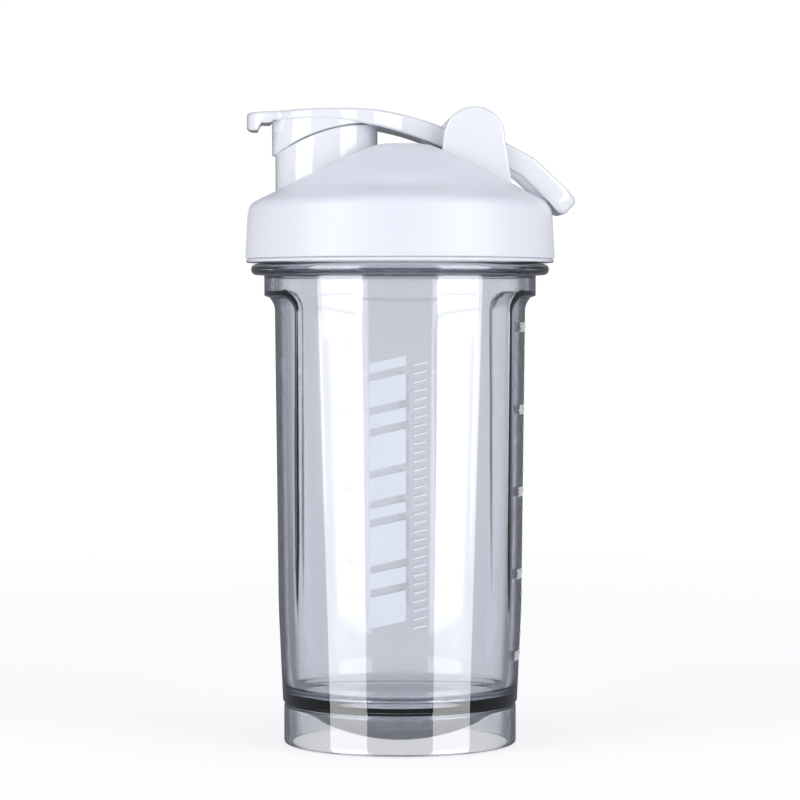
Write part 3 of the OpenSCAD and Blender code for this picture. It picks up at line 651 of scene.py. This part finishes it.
spout_angles = full_turn(160)
spout_at = SPOUT_X + SPOUT_R * np.cos(spout_angles)
seam = SEAM_Z + np.sqrt((SEAM_R - RUN_GAP) ** 2 - (spout_at - SEAM_X) ** 2)
under_roof = lid_roof(spout_at, SPOUT_R * np.sin(spout_angles)) - SHELL_T - 1.2
lip_turn = np.linspace(0, 1.57, 6)
spout_rows = [
    (SPOUT_BORE, under_roof), (SPOUT_BORE, under_roof + 1.5),
    (SPOUT_BORE, LIP_TOP - 5.0), (SPOUT_BORE, LIP_TOP - 1.6),
    *[(SPOUT_BORE + 1.1 - 1.1 * math.cos(t), LIP_TOP - 1.1 + 1.1 * math.sin(t)) for t in lip_turn],
    *[(LIP_R - 0.9 + 0.9 * math.sin(t), LIP_TOP - 0.9 + 0.9 * math.cos(t)) for t in lip_turn],
    (LIP_R, np.maximum(seam + 0.3, LIP_TOP - 1.2)), (LIP_R, seam + 0.3), (LIP_R + 0.08, seam + 0.08),
    (LIP_R + 0.3, seam),
    *[(SPOUT_R - 0.45 + 0.45 * math.sin(t), seam - 0.45 + 0.45 * math.cos(t))
      for t in np.linspace(0, 1.57, 5)],
    (SPOUT_R, seam * 0.5 + under_roof * 0.5), (SPOUT_R, under_roof),
]
spout_grid = wavy(spout_rows, spout_angles, SPOUT_X)
core_spout = mesh_piece("lid_core_spout", *net(spout_grid, True), gloss_white, "lid", "gloss_lid", sharp=60)


def ear_outline(inset):
    """The ear's edge seen from the side, pulled in towards the pin by inset: up the left side, over a round
    top, down the right side, and along a foot that follows the roof."""
    left_low, right_low = PIVOT_X - EAR_R - 0.9, PIVOT_X + EAR_R + 2.4
    foot_left = SHOULDER + SIDE_K * (LID_TOP_R - left_low) - 2.6
    foot_right = SHOULDER + SIDE_K * (LID_TOP_R - right_low) - 2.6
    outline = np.concatenate([
        line((left_low, foot_left), (PIVOT_X - EAR_R, PIVOT_Z), 10),
        arc((PIVOT_X, PIVOT_Z), EAR_R, 180, 0, 48)[:-1],
        line((PIVOT_X + EAR_R, PIVOT_Z), (right_low, foot_right), 20),
        line((right_low, foot_right), (left_low, foot_left), 10),
    ])
    away = outline - (PIVOT_X, PIVOT_Z)
    return outline - inset * away / np.linalg.norm(away, axis=1, keepdims=True)


def ear(name, sign, open_hole):
    """One ear: its outline carried from the inner face round a soft edge to the outer face. Each face closes
    on the pin's axis, and an open hole shows the pin's end there."""
    edge = [(EAR_ROUND * (1 - math.sin(t)), EAR_ROUND * (1 - math.cos(t)))
            for t in np.linspace(0, math.pi / 2, 7)]
    pivot = np.array([PIVOT_X, PIVOT_Z])

    def row(outline, y):
        return np.stack([outline[:, 0], np.full(len(outline), sign * y), outline[:, 1]], axis=1)

    def hole(radius):
        away = ear_outline(0) - pivot
        return pivot + radius * away / np.linalg.norm(away, axis=1, keepdims=True)

    rows = [row(hole(PIN_R + 0.1), EAR_IN_Y), row(ear_outline(EAR_ROUND + 0.25), EAR_IN_Y)]
    rows += [row(ear_outline(inset), EAR_IN_Y + depth) for inset, depth in edge]
    rows += [row(ear_outline(inset), EAR_OUT_Y - depth) for inset, depth in reversed(edge)]
    rows += [row(ear_outline(EAR_ROUND + 0.25), EAR_OUT_Y), row(hole(PIN_R + 0.6), EAR_OUT_Y)]
    if open_hole:
        rows += [row(hole(PIN_R + 0.35), EAR_OUT_Y), row(hole(PIN_R + 0.1), EAR_OUT_Y - 0.25),
                 row(hole(PIN_R + 0.1), EAR_OUT_Y - 1.0)]
    return mesh_piece(name, *net(np.stack(rows), False), gloss_white, "lid", "gloss_lid", sharp=40)


core_ears = [ear("lid_core_ear_front", -1, False), ear("lid_core_ear_rear", 1, True)]
for part in (core_socket, core_roof, core_spout, *core_ears):
    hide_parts("lid_core")

# ---------------------------------------------------------------- Lid shell
# A soft-touch skin over the hard core: a rubbery white polymer moulded over it, with a fine matte grain,
# soft ridges, a rounded shoulder and a plain skirt. Spout and ears come up through it.

skirt_low = LID_LOW + RIM_H
shoulder_turn = np.radians(np.linspace(30, 90, 14))
shell_angles = full_turn(320)
shoulder_reach = LID_TOP_R - SHOULDER_R + SHOULDER_R * np.sin(shoulder_turn)
shell_top = roof_rows(shell_angles, SPOUT_R + 0.05, shoulder_reach, 0)
skirt_top = SHOULDER - shoulder_drop(LID_TOP_R)
skirt_z = np.linspace(skirt_top, skirt_low + 0.6, 14)[1:]
skirt_profile = np.concatenate([
    np.stack([skirt_radius(skirt_z, 0), skirt_z], axis=1),
    arc((skirt_radius(skirt_low, 0) - 0.5, skirt_low + 0.5), 0.5, 0, -90, 4),
    [[skirt_radius(skirt_low, SHELL_T), skirt_low], [skirt_radius(SHOULDER - 4, SHELL_T), SHOULDER - 4]],
])
skirt_reach = toward_rim(shell_angles, skirt_profile[:, :1])
skirt_rows = turned((skirt_reach, skirt_profile[:, 1:]), shell_angles, SPOUT_X)
shell_under = roof_rows(shell_angles, SPOUT_R + 0.05, [43.0, 45.4], SHELL_T)
shell_grid = np.concatenate([shell_top, skirt_rows, shell_under[::-1]])

soft_white = Finish("soft_touch_white", Roughness=0.4, IOR=1.5, Specular_IOR_Level=0.8, Sheen_Weight=0.08,
                    Sheen_Roughness=0.5)
soft_patch = soft_white.noise(28.0, 4.0)
soft_white.feed("Base Color", soft_white.mix(soft_patch, (0.755, 0.775, 0.845), (0.795, 0.81, 0.87)))
soft_white.feed("Roughness", soft_white.between(soft_patch, 0.3, 0.44))
soft_wave = soft_white.bump(soft_white.noise(320.0, 2.0), 0.00002)
soft_white.feed("Normal", soft_white.bump(soft_white.noise(2600.0, 3.0), 0.00004, Normal=soft_wave))
shell = mesh_piece("lid_shell_skin", *net(shell_grid, True), soft_white, "lid", "soft_lid", sharp=70)
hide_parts("lid_shell")

# ---------------------------------------------------------------- Mixing grid
# A white polypropylene grid that snaps into the ring under the lid and breaks up lumps as the drink
# goes through: a plain ring with square bars both ways, their edges rounded for easy washing.

GRID_R, GRID_LOW, GRID_H, GRID_WALL = 37.1, 160.3, 7.0, 2.0
GRID_PITCH, GRID_BAR, GRID_BAR_H = 9.0, 1.8, 2.2
SNAP_Z = PLUG_LOW + 2.0


def straight_bar(middle, half_length, lengthwise):
    """One grid bar: a rounded section carried straight along X or Y, closed at both ends."""
    section = rounded_ring(middle - GRID_BAR / 2, middle + GRID_BAR / 2, GRID_LOW, GRID_LOW + GRID_BAR_H, 0.4)
    along = np.array([-half_length, half_length])[:, None]
    side, height = section[:, 0] + 0 * along, section[:, 1] + 0 * along
    along = along + 0 * side
    order = (along, side) if lengthwise else (side, along)
    return net(np.stack([*order, height], axis=-1), False)


ring_profile = np.concatenate([
    arc((GRID_R - GRID_WALL + 0.5, GRID_LOW + 0.5), 0.5, 180, 270, 4),
    arc((GRID_R - 0.5, GRID_LOW + 0.5), 0.5, 270, 360, 4),
    arc((GRID_R - 0.12, SNAP_Z), 0.42, -70, 70, 6),
    arc((GRID_R - 0.5, GRID_LOW + GRID_H - 0.5), 0.5, 0, 90, 4),
    arc((GRID_R - GRID_WALL + 0.5, GRID_LOW + GRID_H - 0.5), 0.5, 90, 180, 4),
])
grid_parts = [net(turned(columns_of(ring_profile), ring_angles), True)]
half_bars = math.floor(GRID_R / GRID_PITCH - 0.5)
for place in (np.arange(-half_bars - 0.5, half_bars + 1) * GRID_PITCH):
    reach = math.sqrt((GRID_R - 1.0) ** 2 - (abs(place) + GRID_BAR / 2) ** 2)
    grid_parts += [straight_bar(place, reach, True), straight_bar(place, reach, False)]

grid_white = Finish("matte_white_grid", Roughness=0.4, IOR=1.49)
grid_melt = melt_of(grid_white, 22.0, 2400.0)
grid_white.feed("Base Color", grid_white.mix(grid_melt["Mask"], (0.70, 0.73, 0.78), (0.78, 0.80, 0.84)))
grid_white.feed("Roughness", grid_white.between(grid_melt["Mask"], 0.3, 0.5))
grid_white.feed("Normal", grid_white.bump(grid_melt["Fine"], 0.00003))
grid_piece = mesh_piece("mixing_grid_bars", *joined(grid_parts), grid_white, "lid", "grid_plastic", sharp=50)
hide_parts("mixing_grid")

# ---------------------------------------------------------------- Flip cap
# The glossy cap over the spout, moulded in white polypropylene: a round head with a skirt that snaps
# over the spout's lip, a hollow thumb tab in front, and an arm that bends down to the hinge.

CAP_LOW, CAP_TOP, CAP_EDGE = 197.5, 201.28, 1.0
CAP_HEAD_R, CAP_SKIRT_IN, CAP_SKIRT_OUT = 17.8, 15.65, 17.25
TOP_BEND, TOP_RUN, TOP_DROP = -16.0, 32.4, 7.15
LOW_BEND, LOW_RUN, LOW_DROP = -28.0, 44.4, 10.4
TAB_END, TAB_HALF, TAB_CORNER, TAB_ROUND, TAB_FALL, TAB_RUN = -48.65, 10.0, 7.0, 2.0, 1.0, 31.0
TAB_HOLLOW, TAB_RIM, TAB_LIP, TAB_LIP_L = -40.2, 0.9, 2.3, 4.6
ARM_HALF, ARM_END, KNUCKLE_R = 11.5, PIVOT_X - 1.0, 5.2


def fall(x, start, length, drop):
    """How far an arc that starts level at start has fallen at x, when it falls by drop over a length."""
    radius = (length ** 2 + drop ** 2) / (2 * drop)
    past = np.clip(x - start, 0, radius)
    return radius - np.sqrt(radius ** 2 - past ** 2)


def cap_half_width(x):
    """Half width of the cap from above: the widest of the tab with its round corners, the round head and the
    arm, which narrows evenly towards the hinge."""
    corner = np.clip(TAB_END + TAB_CORNER - x, 0, TAB_CORNER)
    tab = TAB_HALF - TAB_CORNER + np.sqrt(TAB_CORNER ** 2 - corner ** 2)
    tab = np.where(x < -25, tab, 0)
    head = np.sqrt(np.clip(CAP_HEAD_R ** 2 - (x - SPOUT_X) ** 2, 0, None))
    arm = np.interp(x, [-24, -23.4, -9.0, 0.0, 40.0], [0, 15.95, 15.45, ARM_HALF, ARM_HALF])
    return soft_max(soft_max(tab, head, 1.5), arm, 1.2)


def cap_section(x, inset):
    """The cap's cross-sections at stations x: a box with round edges between the underside and the top,
    pulled in by inset, with the top crowned a little from side to side. Each goes from the left over the top,
    down the right edge, back along the underside and up the left edge."""
    half = (cap_half_width(x) - inset)[:, None]
    tab_fall = TAB_FALL * np.clip((TOP_BEND - x) / TAB_RUN, 0, 1) ** 1.5
    top = (CAP_TOP - tab_fall - fall(x, TOP_BEND, TOP_RUN, TOP_DROP) - inset)[:, None]
    rim = TAB_RIM * smooth_step((TAB_HOLLOW - x) / 1.2)
    lip = TAB_LIP * smooth_step((TAB_END + TAB_LIP_L - x) / 1.4)
    low = (CAP_LOW - rim - lip - fall(x, LOW_BEND, LOW_RUN, LOW_DROP) + inset)[:, None]
    turn, run = np.radians(np.linspace(0, 90, 5)), np.linspace(-1, 1, 7, endpoint=False)
    sine, cosine, flat = np.sin(turn), np.cos(turn), 0 * run
    across = np.concatenate([run, np.ones(10), -run[1:], -np.ones(9)])
    outward = CAP_EDGE * np.concatenate([flat, sine, cosine, flat[1:], -sine, -cosine[:-1]])
    inward = CAP_EDGE * (1 - np.concatenate([flat + 1, cosine, sine, flat[1:] + 1, cosine, sine[:-1]]))
    on_top = np.repeat([True, False, True], [12, 16, 4])
    y = across * (half - CAP_EDGE) + outward
    z = np.where(on_top, top - inward, low + inward)
    crown = 0.45 * (y / np.maximum(half, 1)) ** 2 * (z > (top + low) / 2)
    return np.stack([x[:, None] + 0 * y, y, z - crown], axis=-1)


tab_turn = np.radians(np.linspace(0, 90, 24))
stations = np.unique(np.round(np.concatenate([
    TAB_END + np.array([0.02, 0.1, 0.24, 0.45, 0.8]), TAB_END + TAB_CORNER * (1 - np.cos(tab_turn[4:])),
    TAB_END + np.linspace(2.0, 5.0, 12), np.linspace(-41.5, -36.0, 12), np.linspace(-36, -22, 22),
    np.linspace(-22, 3, 22), np.linspace(3, ARM_END, 16)]), 4))
inset_at = 1.2 * (1 - np.sqrt(1 - np.clip((TAB_END + TAB_ROUND - stations) / TAB_ROUND, 0, 1) ** 2))
cap_grid = cap_section(stations, inset_at)


def cut(piece, points, faces):
    """Takes a closed solid out of a piece, as a cutter does, and leaves the result as its mesh."""
    cutter = bpy.data.objects.new("cutter", closed_mesh("cutter", points, faces))
    bpy.context.scene.collection.objects.link(cutter)
    boolean = piece.modifiers.new("cut", "BOOLEAN")
    boolean.object = cutter
    boolean.operation = "DIFFERENCE"
    boolean.solver = "EXACT"
    bpy.context.view_layer.update()
    done = bpy.data.meshes.new_from_object(piece.evaluated_get(bpy.context.evaluated_depsgraph_get()))
    piece.modifiers.clear()
    piece.data = done
    bpy.data.objects.remove(cutter)
    done.shade_smooth()
    done.set_sharp_from_angle(angle=math.radians(40))


cap = mesh_piece("flip_cap_arm", *net(cap_grid, False), gloss_white, "cap", "gloss_lid", sharp=50)
room_for_lip = columns_of(np.array([[CAP_SKIRT_IN + 0.4, 175.0], [CAP_SKIRT_IN + 0.4, CAP_LOW]]))
cut(cap, *net(turned(room_for_lip, full_turn(128), SPOUT_X), False))

skirt_at = SPOUT_X + CAP_SKIRT_OUT * np.cos(spout_angles)
cap_seam = SEAM_Z + np.sqrt(SEAM_R ** 2 - (skirt_at - SEAM_X) ** 2)
cap_skirt_rows = [
    (CAP_SKIRT_OUT, CAP_LOW + 0.8), (CAP_SKIRT_OUT, cap_seam + 0.5), (CAP_SKIRT_OUT - 0.05, cap_seam + 0.25),
    (CAP_SKIRT_OUT - 0.2, cap_seam + 0.06), (CAP_SKIRT_OUT - 0.45, cap_seam), (CAP_SKIRT_IN + 0.3, cap_seam),
    (CAP_SKIRT_IN, cap_seam + 0.3), (CAP_SKIRT_IN, CAP_LOW + 0.8),
]
cap_skirt_grid = wavy(cap_skirt_rows, spout_angles, SPOUT_X)
cap_skirt = mesh_piece("flip_cap_skirt", *net(cap_skirt_grid, True), gloss_white, "cap", "gloss_lid",
                       sharp=60)


def knuckle(name, low, high, body):
    """A short glossy barrel round the pin, from y = low to y = high, with rounded ends: a turned profile laid
    over on its side."""
    profile = np.concatenate([arc((KNUCKLE_R - 0.5, low + 0.5), 0.5, 270, 360, 4),
                              arc((KNUCKLE_R - 0.5, high - 0.5), 0.5, 0, 90, 4)])
    rows = turned(columns_of(profile), full_turn(72))
    laid = np.stack([PIVOT_X + rows[..., 0], rows[..., 2], PIVOT_Z + rows[..., 1]], axis=-1)
    return mesh_piece(name, *net(laid, False), gloss_white, body, "gloss_lid", sharp=50)


cap_knuckle = knuckle("flip_cap_knuckle", -ARM_HALF, ARM_HALF, "cap")
for part in (cap, cap_skirt, cap_knuckle):
    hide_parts("flip_cap")

# ---------------------------------------------------------------- Spout seal
# A soft silicone plug pressed over a boss under the cap. Its tapered ring goes into the spout and its
# thin flange lies on the lip.

plug_profile = np.concatenate([
    line((8.9, CAP_LOW), (8.9, 193.5), 4), arc((9.3, 193.5), 0.4, 180, 270, 3),
    arc((11.0, 193.5), 0.4, 270, 350, 3), line((11.5, 194.0), (12.35, 196.7), 4),
    line((12.6, CAP_LOW - 0.7), (14.5, CAP_LOW - 0.7), 2), arc((14.5, CAP_LOW - 0.4), 0.3, 270, 360, 3),
    line((14.8, CAP_LOW - 0.1), (14.7, CAP_LOW), 1),
])
plug = mesh_piece("spout_plug", *net(turned(columns_of(plug_profile), full_turn(128), SPOUT_X), True),
                  ring_silicone, "cap", "seal")
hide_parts("spout_seal")
boss_profile = np.array([[8.8, CAP_LOW + 0.5], [8.8, CAP_LOW - 0.9], [8.5, CAP_LOW - 1.2]])
boss = mesh_piece("flip_cap_boss", *net(turned(columns_of(boss_profile), full_turn(96), SPOUT_X), False),
                  gloss_white, "cap", "gloss_lid")
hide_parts("flip_cap")

# ---------------------------------------------------------------- Carry loop
# A glossy U-shaped loop in the lid's white, whose legs turn on the same pin inside the ears. Past a
# bend it lies along the lid's back, where it is relieved to clear the shoulder.

LEG_IN, LEG_T, LEG_DEPTH, LEG_L, LEG_SLOPE = 11.85, 3.0, 6.8, 19.6, 28.0
TIP_SLOPE, TIP_L, BEND_L, LOOP_BAR, LOOP_CORNER = 43.55, 18.8, 5.0, 7.0, 6.0


def loop_line(s):
    """The loop's middle line seen from the side, at a distance s from the pin: straight down the leg's slope,
    then, eased over the bend, down the tip's slope. Gives x, z and the direction square to the line."""
    fine = np.linspace(-4, LEG_L + TIP_L + 2, 800)
    bend = smooth_step((fine - LEG_L + BEND_L / 2) / BEND_L)
    slope = np.radians(LEG_SLOPE + (TIP_SLOPE - LEG_SLOPE) * bend)
    step = fine[1] - fine[0]
    x, z = np.cumsum(np.cos(slope)) * step, -np.cumsum(np.sin(slope)) * step
    zero = np.interp(0, fine, x), np.interp(0, fine, z)
    at = np.interp(s, fine, slope)
    return (PIVOT_X + np.interp(s, fine, x) - zero[0], PIVOT_Z + np.interp(s, fine, z) - zero[1],
            np.sin(at), np.cos(at))


def loop_edge(reach, half, corner):
    """One edge of the U from above as distance and side: out along a leg, round a corner, across the bar,
    round the other corner and back."""
    leg = line((-1.5, -half), (reach - corner, -half), 44)
    round_end = arc((reach - corner, corner - half), corner, -90, 0, 14)
    bar = line((reach, corner - half), (reach, half - corner), 12)[1:]
    first = np.concatenate([leg, round_end, bar])
    return np.concatenate([first, [[reach, half - corner]], first[:len(leg) + 14][::-1] * [1, -1]])


loop_reach = LEG_L + TIP_L
outer_edge = loop_edge(loop_reach, LEG_IN + LEG_T, LOOP_CORNER)
inner_edge = loop_edge(loop_reach - LOOP_BAR, LEG_IN, LOOP_CORNER - LEG_T + 1)
loop_width = np.linalg.norm(outer_edge - inner_edge, axis=1)[:, None]
loop_round = np.clip(loop_width * 0.33, 1.0, 1.9)
round_turn = np.radians(np.linspace(0, 90, 6))[None, :]
across_part, depth_part = [], []
for side, tall, turn in ((1, 1, round_turn), (-1, 1, round_turn[:, ::-1]), (-1, -1, round_turn),
                         (1, -1, round_turn[:, ::-1])):
    across_part.append(side * (loop_width / 2 - loop_round + loop_round * np.cos(turn)))
    depth_part.append(tall * (LEG_DEPTH / 2 - loop_round + loop_round * np.sin(turn)))
across, depth = np.concatenate(across_part, axis=1), np.concatenate(depth_part, axis=1)
share = across / loop_width + 0.5
place = inner_edge[:, None, :] + share[..., None] * (outer_edge - inner_edge)[:, None, :]
line_x, line_z, lift_x, lift_z = loop_line(place[..., 0])
loop_x, loop_y, loop_z = line_x + depth * lift_x, place[..., 1], line_z + depth * lift_z
clear_of_lid = lid_roof(loop_x, loop_y) + RUN_GAP + 0.15
over_lid = np.hypot(loop_x, loop_y) < LID_TOP_R + 0.3
loop_z = np.where(over_lid, np.maximum(loop_z, clear_of_lid), loop_z)
loop_grid = np.stack([loop_x, loop_y, loop_z], axis=-1)
loop_piece = mesh_piece("carry_loop_bow", *net(loop_grid, False), gloss_white, "loop", "gloss_lid", sharp=60)
loop_knuckles = [knuckle("carry_loop_knuckle_front", -LEG_IN - LEG_T, -LEG_IN, "loop"),
                 knuckle("carry_loop_knuckle_rear", LEG_IN, LEG_IN + LEG_T, "loop")]
for part in (loop_piece, *loop_knuckles):
    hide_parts("carry_loop")

# ---------------------------------------------------------------- Hinge pin
# A plain acetal pin, pressed in from the rear ear, on which cap and loop turn. Only its rear end shows,
# with the faint ring that turning leaves.

pin_plastic = Finish("turned_acetal", Roughness=0.3, IOR=1.48)
pin_centred = pin_plastic.node("ShaderNodeMapping", Vector=pin_plastic.place,
                               Location=(-PIVOT_X * 0.001, 0, -PIVOT_Z * 0.001)).outputs[0]
pin_rings = pin_plastic.node("ShaderNodeTexWave", wave_type="RINGS", rings_direction="Y", Vector=pin_centred,
                             Scale=900.0, Distortion=0.6, Detail=2.0).outputs["Fac"]
pin_plastic.feed("Base Color", pin_plastic.mix(pin_rings, (0.62, 0.65, 0.70), (0.70, 0.72, 0.76)))
pin_plastic.feed("Roughness", pin_plastic.between(pin_rings, 0.25, 0.4))
pin_plastic.feed("Normal", pin_plastic.bump(pin_rings, 0.00002))
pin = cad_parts["hinge_pin"]
pin.data.materials.clear()
pin.data.materials.append(pin_plastic.material)
